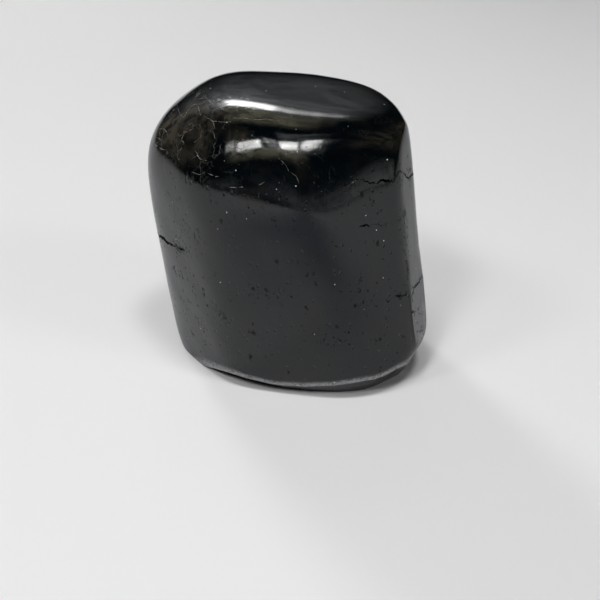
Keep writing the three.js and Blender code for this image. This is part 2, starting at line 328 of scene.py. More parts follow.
damage = {
    "seed": 7,
    "solver": "MANIFOLD",
    "lift": 0.12,            # mm that a cutter stands out of the skin
    "crackStep": 0.3,        # mm between a crack's points
    "crackJitter": 0.14,     # mm that it wanders to either side
    "bladeTaper": (0.12, 0.9, 0.6),  # width left at a blade's tips, what its middle adds, and how quickly
    "bladeWidths": (0.4, 1.2),       # shares of its width and depth that a blade varies between
    "bladeDepths": (0.8, 1.1),
    "pitUneven": (0.72, 1.25),       # how unevenly a pit's corners stand out
    "pitTurn": 25,                   # degrees that pits, crumbs and chips lie turned from the column
    "crumbTurn": 60,
    "chipTurns": (50, 130),
    # open cracks across the column: width and depth (mm), path through (azimuth, height)
    "cracks": [
        (0.75, 1.3, [(-93, 18.4), (-88, 18.5), (-83, 18.8), (-78, 18.8), (-73, 19.0)]),
        (0.34, 0.7, [(-73, 19.0), (-70, 19.3), (-67, 19.2), (-63, 19.6), (-60, 19.6)]),
        (0.24, 0.5, [(-71, 19.2), (-68, 18.6), (-65, 18.7)]),
        (0.3, 0.6, [(-76.2, 15.5), (-76.8, 14.8), (-76.4, 14.0)]),
        (0.3, 0.6, [(36, 25.8), (38.5, 25.9), (41, 25.7)]),
        (0.08, 0.15, [(41, 25.7), (45, 25.6), (48, 25.3)]),
        (0.18, 0.4, [(38.5, 31.7), (42, 31.2), (45, 31.0)]),
        (0.3, 0.6, [(45, 31.0), (48, 31.3), (50, 31.1), (52, 30.7)]),
        (0.24, 0.5, [(52, 30.7), (54, 31.6), (57, 31.8), (59, 31.4)]),
        (0.36, 0.7, [(61, 31.2), (65, 30.0), (71, 29.7), (76, 29.3), (80, 29.4)]),
        (0.12, 0.3, [(24, 31.0), (28, 31.6), (31, 31.1), (34, 31.7), (38.5, 31.7)]),
        (0.26, 0.5, [(51, 15.1), (54, 14.8), (56, 14.9)]),
        (0.2, 0.5, [(57, 14.9), (60, 15.2), (63, 14.8), (70, 14.5), (77, 14.8)]),
        (0.24, 0.5, [(57.5, 12.1), (59, 11.8), (62, 11.3)]),
        (0.1, 0.2, [(62, 11.3), (66, 11.1), (70, 11.5)]),
        (0.1, 0.2, [(59.5, 8.6), (64, 7.8), (71, 6.7)]),
        (0.30, 0.9, [(150, 24.2), (161, 23.6), (172, 24.0), (184, 23.3)]),
        (0.24, 0.7, [(-142, 12.8), (-133, 12.3), (-122, 12.9)]),
        (0.18, 0.5, [(112, 16.2), (119, 16.6), (127, 15.9)]),
        (0.16, 0.4, [(-168, 30.6), (-161, 29.8), (-152, 30.1)]),
    ],
    # pits where grains broke out: (azimuth, height) of each, by size
    "pits": {
        "large": [
            (-50, 22.7), (-69.5, 19.5), (-66, 19.3), (-77, 14.9), (-69, 14.7), (-38.5, 11.9), (-69, 5.1),
            (-18.5, 10), (-21.5, 5.8), (-5, 27.5), (38, 29.9), (59, 26), (57, 19.3), (57.5, 18.4), (20, 10),
            (53, 14.9), (138, 15.5), (176, 9), (-158, 27.5), (-120, 24),
        ],
        "middle": [
            (-71, 21.5), (-47, 24.1), (-72, 19.7), (-63, 19.8), (-58, 20), (-71, 17.3), (-50, 14.6),
            (-50, 13.6), (-77, 10.3), (-41, 12.3), (-35, 11.6), (-63, 8.6), (-60, 8.1), (-56, 6.9),
            (-70, 3.1), (-17, 17.1), (-10, 17.1), (-2, 15.3), (-4, 21.5), (-32, 26.4), (-31, 14.7),
            (42, 29.3), (43, 28.7), (44, 23.1), (54, 25.6), (57, 24.9), (58, 17.9), (36, 18.6),
            (39, 16.9), (35, 17.1), (25, 14.9), (39, 15), (33, 15), (47, 12.3), (25, 12.1), (54, 8.6),
            (44, 9.2), (58.5, 11.9), (11, 19.9), (15, 18.7), (11, 14.8), (48, 14.7), (105, 21),
            (150, 12), (-140, 22), (-105, 9), (170, 28), (120, 27),
        ],
        "small": [
            (-60, 23.6), (-48, 22.2), (-60, 20.7), (-57, 16.2), (-38, 18.4), (-76, 11.9), (-58, 11.2),
            (-36, 12.2), (-8, 11.9), (38, 13.4), (30, 11.1), (25, 20.7), (-37, 11.3),
        ],
    },
    # length along the column, width and depth (mm)
    "pitSizes": {"large": (1.1, 0.78, 0.56), "middle": (0.78, 0.58, 0.46), "small": (0.5, 0.42, 0.36)},
    # rows of short grooves along the column: first azimuth and height, step of both, how many, groove length
    "combs": [
        {"start": (16.5, 9.6), "step": (1.5, -0.1), "count": 7, "length": 0.9},
        {"start": (-21, 10.1), "step": (2.0, -0.15), "count": 5, "length": 0.7},
        {"start": (48, 25.4), "step": (2.2, 0.1), "count": 4, "length": 0.8},
        {"start": (40, 9.3), "step": (2.0, 0.1), "count": 4, "length": 0.6},
        {"start": (158, 18.0), "step": (2.2, 0.1), "count": 5, "length": 0.9},
        {"start": (-135, 20.5), "step": (2.0, -0.2), "count": 5, "length": 0.8},
    ],
    "combWidth": 0.24,
    "combDepth": 0.18,
    # patches of crumbled grains: start and end of each, how far they stray (degrees, mm), how many
    "crumbs": [
        ((-74, 19.1), (-58, 19.8), (1.8, 0.5), 40),
        ((44, 31.1), (76, 29.8), (1.5, 0.5), 80),
        ((50, 32.4), (72, 31.0), (2.5, 0.8), 24),
        ((58.5, 26.8), (57.5, 24.4), (0.8, 0.3), 14),
        ((57.5, 20.2), (57.5, 17.6), (0.8, 0.3), 20),
        ((26, 31.6), (40, 31.2), (2.0, 0.4), 14),
        ((58, 27), (57.5, 16), (1.6, 0.6), 70),
        ((60, 15), (64, 7), (3.5, 0.8), 12),
        ((-68, 9), (-54, 6), (4.0, 1.4), 26),
        ((-78, 16), (-72, 9), (3.0, 1.0), 16),
        ((-46, 12.4), (-32, 11.4), (2.5, 0.5), 14),
        ((-20, 17), (-6, 14.5), (3.0, 0.8), 14),
        ((12, 11), (36, 9.8), (3.0, 0.9), 20),
        ((28, 19), (44, 14), (4.0, 1.4), 20),
        ((-52, 31.5), (-22, 30), (2.0, 0.5), 26),
        ((-66, 25), (-50, 21), (4.0, 1.0), 24),
        ((-72, 24), (-58, 12), (5.0, 2.0), 30),
        ((145, 23.5), (185, 23.8), (2.0, 0.5), 24),
        ((-145, 12.5), (-118, 12.6), (2.0, 0.5), 18),
    ],
    "crumbLengths": (0.3, 0.75),
    "crumbWidths": (0.22, 0.48),
    "scattered": 420,              # small pits strewn over the column
    "scatteredHeights": (2.5, 32.0),
    "scatteredLengths": (0.28, 0.8),
    "scatteredWidths": (0.2, 0.46),
    "scatteredDepth": 0.8,         # share of the width
    "paintedGlintShare": 0.1,          # share of the crumbs and small pits given the pale finish as painted glints
    "clusterChance": 0.35,         # share that sits beside the one before
    "clusterSpread": (2.5, 0.7),   # degrees and mm
    # chips knocked out of the edge above the bevels
    "chips": 34,
    "chipAzimuths": (-38.0, 82.0),
    "chipLengths": (0.18, 0.6),
    "chipWidths": (0.12, 0.34),
    "chipDepth": 0.5,              # share of the width
    # fine healed cracks that catch the light: width, depth (mm), longest unbroken run and gap (steps)
    "hairlineWidth": 0.06,
    "hairlineDepth": 0.05,
    "hairlineRun": (3, 9),
    "hairlineGap": (0, 1),
    "hairlineJitter": 0.045,       # mm
    # their paths through (azimuth, height)
    "hairlines": [
        [(-97, 36.8), (-85, 36.7), (-77, 36.6), (-79, 37.5), (-79, 38.1), (-74, 38.4), (-71, 38.8)],
        [(-80, 39.2), (-73, 39.1), (-65, 39.0), (-58, 38.9)],
        [(-73, 38.2), (-65, 37.7), (-59, 37.7), (-51, 37.5), (-42, 37.7), (-38, 37.9)],
        [(-51, 37.5), (-47, 37.0), (-47, 36.6), (-43, 35.9)],
        [(-70, 35.2), (-66, 35.6), (-63, 36.1)],
        [(-67, 33.0), (-65, 33.5), (-65, 34.3), (-68, 34.5), (-68, 35.4)],
        [(-88, 32.1), (-79, 32.3), (-76, 32.5)],
        [(-104, 35.2), (-96, 34.6), (-92, 33.8), (-86, 34.4), (-80, 34.1)],
        [(-92, 33.8), (-90, 32.9), (-84, 33.2)],
        [(-56, 36.4), (-54, 35.6), (-57, 34.8)],
        [(-54, 34.1), (-49, 33.4), (-43, 33.5)],
        [(-51, 31.6), (-45, 31.7), (-43, 32.1), (-36, 32.0), (-34, 32.1)],
        [(-28, 31.0), (-24, 31.0), (-21, 31.2)],
        [(-13, 31.5), (-10, 31.9)],
        [(-38, 38.2), (-29, 38.3), (-23, 38.2), (-15, 38.3), (1, 38.1)],
        [(-3, 34.6), (1, 33.9), (3, 33.2), (7, 32.6), (8, 31.8)],
        [(37, 31.8), (34, 31.5), (32, 31.1)],
        [(118, 37.0), (126, 36.2), (133, 36.6), (140, 35.7)],
        [(-150, 36.2), (-143, 35.4), (-139, 34.3), (-146, 33.6)],
        [(-143, 35.4), (-134, 35.9), (-127, 35.2)],
        [(168, 37.4), (175, 36.6), (-178, 37.2)],
    ],
}


def pathPoints(path):
    # even steps along a path of (azimuth, height) corners, each laid on the skin
    corners = [skinAt(azimuth, height) for azimuth, height in path]
    points = []
    for start, end in zip(corners, corners[1:]):
        steps = max(2, round((end - start).length / (damage["crackStep"] * mm)))
        points += [start.lerp(end, i / steps) for i in range(steps)]
    points.append(corners[-1])
    onSkin = groundSkinAlong(np.array([point - heart for point in points]))
    return [Vector(point) + heart for point in onSkin]


def bladeCutter(points, width, depth, jitter, rng):
    # a V-shaped blade that follows points on the skin and tapers away at both ends
    vertices = []
    tip, middle, quickness = damage["bladeTaper"]
    last = len(points) - 1
    for i, point in enumerate(points):
        along = (points[min(i + 1, last)] - points[max(i - 1, 0)]).normalized()
        out = skinNormal(point)
        across = along.cross(out).normalized()
        taper = min(1.0, tip + middle * math.sin(math.pi * (i + 0.2) / (last + 0.4)) ** quickness)
        here = width * taper * rng.uniform(*damage["bladeWidths"]) * mm
        deep = depth * taper * rng.uniform(*damage["bladeDepths"]) * mm
        lift = damage["lift"] * mm
        spread = here / 2 * (1 + lift / deep)
        centre = point + across * rng.uniform(-1, 1) * jitter * mm
        vertices += [centre + out * lift - across * spread, centre + out * lift + across * spread,
                     centre - out * deep]
    faces = [(0, 2, 1), (3 * last, 3 * last + 1, 3 * last + 2)]
    for i in range(last):
        a, b = 3 * i, 3 * i + 3
        for j, k in ((0, 1), (1, 2), (2, 0)):
            faces.append((a + j, a + k, b + k, b + j))
    mesh = bpy.data.meshes.new("bladeCutter")
    mesh.from_pydata(vertices, [], faces)
    cutter = bpy.data.objects.new("bladeCutter", mesh)
    bpy.context.scene.collection.objects.link(cutter)
    return cutter


def hairlineCutters(rng):
    cutters = []
    for path in damage["hairlines"]:
        points = pathPoints(path)
        start = 0
        while start < len(points) - 1:
            end = min(start + rng.randint(*damage["hairlineRun"]), len(points) - 1)
            run = points[start:end + 1]
            cutters.append(bladeCutter(run, damage["hairlineWidth"], damage["hairlineDepth"],
                                       damage["hairlineJitter"], rng))
            start = end + rng.randint(*damage["hairlineGap"])
    return cutters


def pitTemplate(subdivisions):
    deselectAll()
    bpy.ops.mesh.primitive_ico_sphere_add(subdivisions=subdivisions, radius=1)
    template = bpy.context.object
    template.name = "pitCutter"
    return template


def pitCutter(template, point, size, rng, turnDegrees=0.0):
    # size is the pit's length along the column, its width and its depth (mm)
    out = skinNormal(point)
    axis = lean @ Vector((0, 0, 1))
    across = axis.cross(out).normalized()
    run = out.cross(across).normalized()
    cutter = template.copy()
    cutter.data = template.data.copy()
    bpy.context.scene.collection.objects.link(cutter)
    for vertex in cutter.data.vertices:
        vertex.co *= rng.uniform(*damage["pitUneven"])
    length, width, depth = size
    turn = Matrix((run, across, out)).transposed() @ Matrix.Rotation(math.radians(turnDegrees), 3, "Z")
    stretch = Matrix.Diagonal((length / 2 * mm, width / 2 * mm, depth * mm, 1))
    cutter.matrix_world = Matrix.Translation(point) @ turn.to_4x4() @ stretch
    return cutter


def placedPits():
    return [(skinAt(azimuth, height), damage["pitSizes"][size])
            for size, places in damage["pits"].items() for azimuth, height in places]


def combPits():
    pits = []
    for comb in damage["combs"]:
        for i in range(comb["count"]):
            azimuth = comb["start"][0] + comb["step"][0] * i
            height = comb["start"][1] + comb["step"][1] * i
            size = (comb["length"], damage["combWidth"], damage["combDepth"])
            pits.append((skinAt(azimuth, height), size))
    return pits


def scatteredPits(rng):
    pits = []
    azimuth, height = 0.0, 10.0
    lowest, highest = damage["scatteredHeights"]
    for _ in range(damage["scattered"]):
        if rng.random() < damage["clusterChance"]:
            azimuth += rng.gauss(0, damage["clusterSpread"][0])
            height += rng.gauss(0, damage["clusterSpread"][1])
        else:
            azimuth = rng.uniform(-180, 180)
            height = rng.uniform(lowest, highest)
        height = min(max(height, lowest), highest)
        length = rng.uniform(*damage["scatteredLengths"])
        width = min(length, rng.uniform(*damage["scatteredWidths"]))
        pits.append((skinAt(azimuth, height), (length, width, width * damage["scatteredDepth"])))
    return pits


def crumbs(rng):
    pits = []
    for patchStart, patchEnd, patchStray, count in damage["crumbs"]:
        for _ in range(count):
            share = rng.random()
            azimuth, height = (start + (end - start) * share + rng.gauss(0, stray)
                               for start, end, stray in zip(patchStart, patchEnd, patchStray))
            length = rng.uniform(*damage["crumbLengths"])
            width = min(length, rng.uniform(*damage["crumbWidths"]))
            pits.append((skinAt(azimuth, height), (length, width, width * damage["scatteredDepth"])))
    return pits


def edgeChips(rng):
    chips = []
    for _ in range(damage["chips"]):
        point = bevelEdge(rng.uniform(*damage["chipAzimuths"]))
        width = rng.uniform(*damage["chipWidths"])
        chips.append((point, (rng.uniform(*damage["chipLengths"]), width, width * damage["chipDepth"])))
    return chips


def breakSkin(piece, brokenFinish, healedAndGlintFinish):
    rng = random.Random(damage["seed"])
    cutters = [bladeCutter(pathPoints(path), width, depth, damage["crackJitter"], rng)
               for width, depth, path in damage["cracks"]]
    fineTemplate = pitTemplate(2)
    coarseTemplate = pitTemplate(1)
    pitTurn = damage["pitTurn"]
    crumbTurn = damage["crumbTurn"]
    cutters += [pitCutter(fineTemplate, point, size, rng, rng.uniform(-pitTurn, pitTurn))
                for point, size in placedPits()]
    cutters += [pitCutter(coarseTemplate, point, size, rng) for point, size in combPits()]
    crumbled = [pitCutter(coarseTemplate, point, size, rng, rng.uniform(-crumbTurn, crumbTurn))
                for point, size in crumbs(rng) + scatteredPits(rng)]
    # painted glints: some crumbs and pits get the pale finish as bright specks of light
    paintedGlints = [cutter for cutter in crumbled if rng.random() < damage["paintedGlintShare"]]
    cutters += [cutter for cutter in crumbled if cutter not in paintedGlints]
    chips = [pitCutter(coarseTemplate, point, size, rng, rng.uniform(*damage["chipTurns"]))
             for point, size in edgeChips(rng)]
    healed = hairlineCutters(rng)
    bpy.data.objects.remove(fineTemplate)
    bpy.data.objects.remove(coarseTemplate)
    # the cutters get their finish before they are taken out of the stone together
    tray = bpy.data.collections.new("cutters")
    bpy.context.scene.collection.children.link(tray)
    for group, finish in ((cutters, brokenFinish), (paintedGlints + chips + healed, healedAndGlintFinish)):
        for cutter in group:
            cutter.data.materials.clear()
            cutter.data.materials.append(finish)
            tray.objects.link(cutter)
    applyModifier(piece, "BOOLEAN", operation="DIFFERENCE", operand_type="COLLECTION", collection=tray,
                  solver=damage["solver"], material_mode="TRANSFER")
    for cutter in list(tray.objects):
        bpy.data.objects.remove(cutter)
    bpy.data.collections.remove(tray)


def crispBreaks(piece):
    # the rim of every crack and pit stays sharp
    surface = bmesh.new()
    surface.from_mesh(piece.data)
    for edge in surface.edges:
        if len({face.material_index for face in edge.link_faces}) > 1:
            edge.smooth = False
    surface.to_mesh(piece.data)
    surface.free()


def markEdge(piece):
    # the finish reads edgeReach to find the scuffed edge above the bevels, painted pale partly as a
    # highlight line
    mesh = piece.data
    points = np.empty(len(mesh.vertices) * 3)
    mesh.vertices.foreach_get("co", points)
    reach = bevelReach(points.reshape(-1, 3) - np.array(heart))
    attribute = mesh.attributes.new("edgeReach", "FLOAT", "POINT")
    attribute.data.foreach_set("value", reach.astype(np.float32))


# ---- finishes

def newFinish(name):
    material = bpy.data.materials.new(name)
    material.use_nodes = True
    tree = material.node_tree
    tree.nodes.clear()
    out = tree.nodes.new("ShaderNodeOutputMaterial")
    shader = tree.nodes.new("ShaderNodeBsdfPrincipled")
    tree.links.new(shader.outputs["BSDF"], out.inputs["Surface"])
    return material, tree, shader


def addRelief(tree, shader, height):
    # height is in thousandths of a mm
    bump = tree.nodes.new("ShaderNodeBump")
    bump.inputs["Distance"].default_value = 0.001 * mm
    tree.links.new(height, bump.inputs["Height"])
    tree.links.new(bump.outputs[0], shader.inputs["Normal"])


def setOrLink(tree, socket, value):
    if isinstance(value, bpy.types.NodeSocket):
        tree.links.new(value, socket)
    else:
        socket.default_value = value


def mathNode(tree, operation, a, b=0.0, third=0.0):
    node = tree.nodes.new("ShaderNodeMath")
    node.operation = operation
    setOrLink(tree, node.inputs[0], a)
    setOrLink(tree, node.inputs[1], b)
    setOrLink(tree, node.inputs[2], third)
    return node.outputs[0]


def times(tree, a, b):
    return mathNode(tree, "MULTIPLY", a, b)


def plus(tree, a, b):
    return mathNode(tree, "ADD", a, b)


def minus(tree, a, b):
    return mathNode(tree, "SUBTRACT", a, b)


def larger(tree, a, b):
    return mathNode(tree, "MAXIMUM", a, b)


def easing(tree, value, start, end, first=0.0, second=1.0):
    node = tree.nodes.new("ShaderNodeMapRange")
    node.interpolation_type = "SMOOTHSTEP"
    tree.links.new(value, node.inputs["Value"])
    for name, number in (("From Min", start), ("From Max", end), ("To Min", first), ("To Max", second)):
        node.inputs[name].default_value = number
    return node.outputs[0]


def window(tree, value, low, lowFull, highFull, high):
    # 1 between lowFull and highFull, easing to 0 at low and high
    return times(tree, easing(tree, value, low, lowFull), easing(tree, value, highFull, high, 1, 0))


def noiseNode(tree, vector, scale, detail=2.0, roughness=0.5):
    node = tree.nodes.new("ShaderNodeTexNoise")
    tree.links.new(vector, node.inputs["Vector"])
    for name, number in (("Scale", scale), ("Detail", detail), ("Roughness", roughness)):
        node.inputs[name].default_value = number
    return node


def noise(tree, vector, scale, detail=2.0, roughness=0.5):
    return noiseNode(tree, vector, scale, detail, roughness).outputs[0]


def cellNode(tree, vector, scale, feature):
    node = tree.nodes.new("ShaderNodeTexVoronoi")
    node.feature = feature
    tree.links.new(vector, node.inputs["Vector"])
    node.inputs["Scale"].default_value = scale
    return node


def mapNode(tree, vector, scale=(1, 1, 1), turn=(0, 0, 0)):
    node = tree.nodes.new("ShaderNodeMapping")
    tree.links.new(vector, node.inputs["Vector"])
    node.inputs["Scale"].default_value = scale
    node.inputs["Rotation"].default_value = [math.radians(angle) for angle in turn]
    return node.outputs[0]


def vectorNode(tree, operation, vector, other):
    node = tree.nodes.new("ShaderNodeVectorMath")
    node.operation = operation
    tree.links.new(vector, node.inputs[0])
    node.inputs[1].default_value = other
    return node


def splitNode(tree, vector):
    node = tree.nodes.new("ShaderNodeSeparateXYZ")
    tree.links.new(vector, node.inputs[0])
    return node.outputs


def mixColour(tree, factor, a, b):
    node = tree.nodes.new("ShaderNodeMix")
    node.data_type = "RGBA"
    setOrLink(tree, node.inputs["Factor"], factor)
    setOrLink(tree, node.inputs["A"], a)
    setOrLink(tree, node.inputs["B"], b)
    return node.outputs["Result"]


def mixValue(tree, factor, a, b):
    node = tree.nodes.new("ShaderNodeMix")
    node.data_type = "FLOAT"
    for socket, value in zip([i for i in node.inputs if i.type == "VALUE"], (factor, a, b)):
        setOrLink(tree, socket, value)
    return [o for o in node.outputs if o.type == "VALUE"][0]


crystal = {
    "striation": (3.4, 3.0, 0.6),   # each noise's scale per mm, its detail and its roughness
    "striationStretch": 0.05,       # scale along the column, where the striations run on
    "mottle": (0.22, 4.0, 0.65),
    "grain": (2.6, 3.0, 0.65),
}


# patterns shared by the stone's finishes, in mm on its own coordinates
def crystalPatterns():
    tree = bpy.data.node_groups.new("crystalPatterns", "ShaderNodeTree")
    tree.interface.new_socket(name="Coordinates", in_out="INPUT", socket_type="NodeSocketVector")
    for name in ("Striation", "Mottle", "Grain"):
        tree.interface.new_socket(name=name, in_out="OUTPUT", socket_type="NodeSocketFloat")
    entry = tree.nodes.new("NodeGroupInput").outputs["Coordinates"]
    leave = tree.nodes.new("NodeGroupOutput")
    upright = mapNode(tree, entry, turn=(0, stoneShape["leanDegrees"], 0))
    along = mapNode(tree, upright, scale=(1, 1, crystal["striationStretch"]))
    tree.links.new(noise(tree, along, *crystal["striation"]), leave.inputs["Striation"])
    tree.links.new(noise(tree, entry, *crystal["mottle"]), leave.inputs["Mottle"])
    tree.links.new(noise(tree, entry, *crystal["grain"]), leave.inputs["Grain"])
    return tree


def placePatterns(tree, group):
    coords = tree.nodes.new("ShaderNodeTexCoord")
    inMm = mapNode(tree, coords.outputs["Object"], scale=(1 / mm, 1 / mm, 1 / mm))
    node = tree.nodes.new("ShaderNodeGroup")
    node.node_tree = group
    tree.links.new(inMm, node.inputs["Coordinates"])
    return inMm, node.outputs


polish = {
    "ior": 1.6,
    "black": (0.0005, 0.0014, 0.0022, 1),
    "brown": (0.0040, 0.0033, 0.0028, 1),
    "brownShare": (0.5, 0.75),             # mottle where the brown begins and is full
    # pale colour of the worn edge above the bevels, partly a painted highlight line along the foot
    "scuffedAndHighlight": (0.30, 0.30, 0.31, 1),
    "veil": (0.055, 0.054, 0.048, 1),      # cracks that healed under the polish
    "fleck": (0.8, 0.8, 0.8, 1),
    "roughness": (0.05, 0.11),             # glossiest and dullest polish
    "veilRoughness": 0.35,
    "scuffRoughness": 0.6,
    "stripRoughness": 0.2,
    "specular": (0.5, 0.4),                # on the column and on the ground strip
    "shoulderCentre": (-12.9, -5.2, 36.0),  # mm, middle of the crazed shoulder
    "shoulderReach": (5.5, 11.5),          # mm, fully crazed to not crazed
    "crazedElsewhere": 0.12,               # how crazed the rest of the stone is
    "crazeScale": 0.5,                     # patches of crazing per mm
    "veilBend": 2.4,                       # mm that the veins wander
    "coarseVeins": (0.42, 0.05),           # cells per mm and width (mm)
    "fineVeins": (0.95, 0.03),
    "fineVeinShare": 0.5,
    # spots in cells: cells per mm, radius (mm) and the share of cells without one
    "flecks": (0.8, 0.1, 0.76),
    "pocks": (1.1, 0.2, 0.35),
    "dots": (2.1, 0.09, 0.6),
    "dotsOnTop": 0.25,                     # share of the dots' depth left above the wall
    "pockStretch": 0.6,                    # scale along the column
    "wallTop": (34, 30),                   # mm, between these heights the top runs over into the wall
    "stripEdge": (-0.3, -0.06),            # mm behind the strip's plane where its finish fades in
    "scuffReach": (-0.6, -0.08, -0.012, -0.004),  # mm behind the bevels, where it fades in and ends
    "scuffAndHighlightAcross": (-14, -2),              # mm, the scuffed edge and its painted highlight narrow from here to the right
    "scuffAndHighlightWidening": 0.45,                 # share of the reach that counts at the left
    "scratches": (2.6, 3.0, 0.7),
    "scratchStretch": 0.22,
    # heights of the relief, in thousandths of a mm
    "relief": {
        "scratches": 14.0, "striation": 3.5, "grain": 2.4, "stripStriation": 14.0, "stripGrain": 7.0,
        "lines": 5.0, "pocks": 55.0, "dots": 22.0, "flecks": 10.0, "scuffs": 30.0,
    },
}


def warped(tree, inMm, scale, bend):
    # coordinates pushed about by a slow noise
    warp = noiseNode(tree, inMm, scale).outputs["Color"]
    shift = vectorNode(tree, "MULTIPLY_ADD", warp, (bend, bend, bend))
    tree.links.new(inMm, shift.inputs[2])
    return shift.outputs[0]


def veins(tree, vector, scale, width):
    # thin lines between cells
    cells = cellNode(tree, vector, scale, "DISTANCE_TO_EDGE")
    return easing(tree, cells.outputs["Distance"], width * scale, 0.3 * width * scale)


def specks(tree, inMm, scale, radius, rarity):
    # round spots in some of the cells, rarity = share of cells without one
    cells = cellNode(tree, inMm, scale, "F1")
    chance = splitNode(tree, cells.outputs["Color"])[0]
    spot = easing(tree, cells.outputs["Distance"], radius * scale, 0.35 * radius * scale)
    return times(tree, spot, mathNode(tree, "GREATER_THAN", chance, rarity))


def veiledCracks(tree, inMm):
    # fine lines that healed under the polish, thickest on the crazed shoulder
    away = vectorNode(tree, "DISTANCE", inMm, polish["shoulderCentre"]).outputs["Value"]
    crazed = easing(tree, away, *polish["shoulderReach"], 1, polish["crazedElsewhere"])
    patchy = easing(tree, noise(tree, inMm, polish["crazeScale"]), 0.46, 0.62)
    bent = warped(tree, inMm, polish["crazeScale"], polish["veilBend"])
    fine = times(tree, veins(tree, bent, *polish["fineVeins"]), polish["fineVeinShare"])
    lines = larger(tree, veins(tree, bent, *polish["coarseVeins"]), fine)
    return times(tree, lines, times(tree, crazed, patchy))


def groundStrip(tree, inMm):
    # 1 on the strip ground along the right side
    stripNormal, stripDistance = flatPlanes[0]
    ahead = vectorNode(tree, "DOT_PRODUCT", inMm, stripNormal).outputs["Value"]
    stripAt = (stripDistance + heart.dot(stripNormal)) / mm
    first, full = polish["stripEdge"]
    return easing(tree, ahead, stripAt + first, stripAt + full)


def scuffedEdgeAndHighlight(tree, x, grain):
    # the worn edge above the bevels, whose pale colour is partly a painted highlight line
    reach = tree.nodes.new("ShaderNodeAttribute")
    reach.attribute_name = "edgeReach"
    widening = easing(tree, x, *polish["scuffAndHighlightAcross"], polish["scuffAndHighlightWidening"], 1.0)
    worn = window(tree, times(tree, reach.outputs["Fac"], widening), *polish["scuffReach"])
    return times(tree, worn, easing(tree, grain, 0.3, 0.6, 0.35, 1.0))


def polishedFinish(group):
    material, tree, shader = newFinish("polishedTourmaline")
    shader.inputs["IOR"].default_value = polish["ior"]
    inMm, patterns = placePatterns(tree, group)
    striation, mottle, grain = patterns
    place = splitNode(tree, inMm)
    lines = veiledCracks(tree, inMm)
    onStrip = groundStrip(tree, inMm)
    # worn: mask of the scuffed edge, for its roughness, relief and pale colour, which is partly a painted
    # highlight
    worn = scuffedEdgeAndHighlight(tree, place[0], grain)

    # bright flecks, and tiny pocks of two sizes, the larger ones on the column only
    onWall = easing(tree, place[2], *polish["wallTop"])
    fleck = specks(tree, inMm, *polish["flecks"])
    stretched = mapNode(tree, inMm, scale=(1, 1, polish["pockStretch"]))
    pock = times(tree, specks(tree, stretched, *polish["pocks"]), onWall)
    dot = times(tree, specks(tree, inMm, *polish["dots"]),
                easing(tree, place[2], *polish["wallTop"], polish["dotsOnTop"], 1.0))

    colour = mixColour(tree, easing(tree, mottle, *polish["brownShare"]), polish["black"], polish["brown"])
    colour = mixColour(tree, lines, colour, polish["veil"])
    # painted highlight: the scuffed edge's pale colour stands partly for the bright line along the foot
    colour = mixColour(tree, worn, colour, polish["scuffedAndHighlight"])
    colour = mixColour(tree, fleck, colour, polish["fleck"])
    tree.links.new(colour, shader.inputs["Base Color"])

    rough = easing(tree, mottle, 0.35, 0.7, *polish["roughness"])
    rough = mixValue(tree, larger(tree, lines, larger(tree, pock, dot)), rough, polish["veilRoughness"])
    rough = mixValue(tree, worn, rough, polish["scuffRoughness"])
    rough = mixValue(tree, onStrip, rough, polish["stripRoughness"])
    tree.links.new(rough, shader.inputs["Roughness"])
    tree.links.new(mixValue(tree, onStrip, *polish["specular"]), shader.inputs["Specular IOR Level"])

    relief = polish["relief"]
    scratches = mapNode(tree, inMm, scale=(1.0, 1.0, polish["scratchStretch"]))
    wall = plus(tree, times(tree, noise(tree, scratches, *polish["scratches"]), relief["scratches"]),
                times(tree, striation, relief["striation"]))
    height = plus(tree, times(tree, wall, onWall), times(tree, grain, relief["grain"]))
    streaks = plus(tree, times(tree, striation, relief["stripStriation"]),
                   times(tree, grain, relief["stripGrain"]))
    height = plus(tree, height, times(tree, onStrip, streaks))
    for mask, name in ((lines, "lines"), (pock, "pocks"), (dot, "dots")):
        height = minus(tree, height, times(tree, mask, relief[name]))
    height = plus(tree, height, times(tree, fleck, relief["flecks"]))
    height = plus(tree, height, times(tree, worn, times(tree, grain, relief["scuffs"])))
    addRelief(tree, shader, height)
    return material


# the pale finish: healed hairlines and fresh chips, and painted glints on some crumbs and pits
healed = {
    "ior": 1.6,
    "pale": (0.52, 0.52, 0.50, 1),
    "stained": (0.16, 0.145, 0.11, 1),
    "stains": (1.6, 3.0, 0.6),      # scale per mm, detail and roughness of the stains' noise
    "stainShare": (0.4, 0.6),
    "roughness": (0.3, 0.55),
    "grainHeight": 15.0,            # thousandths of a mm
}


def healedAndGlintFinish(group):
    # the pale, glittering insides of hairlines and fresh chips, and painted glints on some crumbs and pits
    material, tree, shader = newFinish("healedAndGlintTourmaline")
    shader.inputs["IOR"].default_value = healed["ior"]
    inMm, patterns = placePatterns(tree, group)
    grain = patterns["Grain"]
    stain = easing(tree, noise(tree, inMm, *healed["stains"]), *healed["stainShare"])
    tree.links.new(mixColour(tree, stain, healed["pale"], healed["stained"]), shader.inputs["Base Color"])
    tree.links.new(easing(tree, grain, 0.35, 0.65, *healed["roughness"]), shader.inputs["Roughness"])
    addRelief(tree, shader, times(tree, grain, healed["grainHeight"]))
    return material


broken = {
    "ior": 1.25,                    # little light finds its way back out of a crack
    "deep": (0.0015, 0.0014, 0.0014, 1),
    "dusty": (0.028, 0.026, 0.023, 1),
    "dust": (2.2, 4.0, 0.7),        # scale per mm, detail and roughness of the dust's noise
    "dustShare": (0.45, 0.7),
    "roughness": (0.3, 0.6),
    "stepScale": 3.2,               # broken grains per mm
    # heights, in thousandths of a mm
    "stepHeight": 40.0,
    "grainHeight": 12.0,
    "striationHeight": 20.0,
}


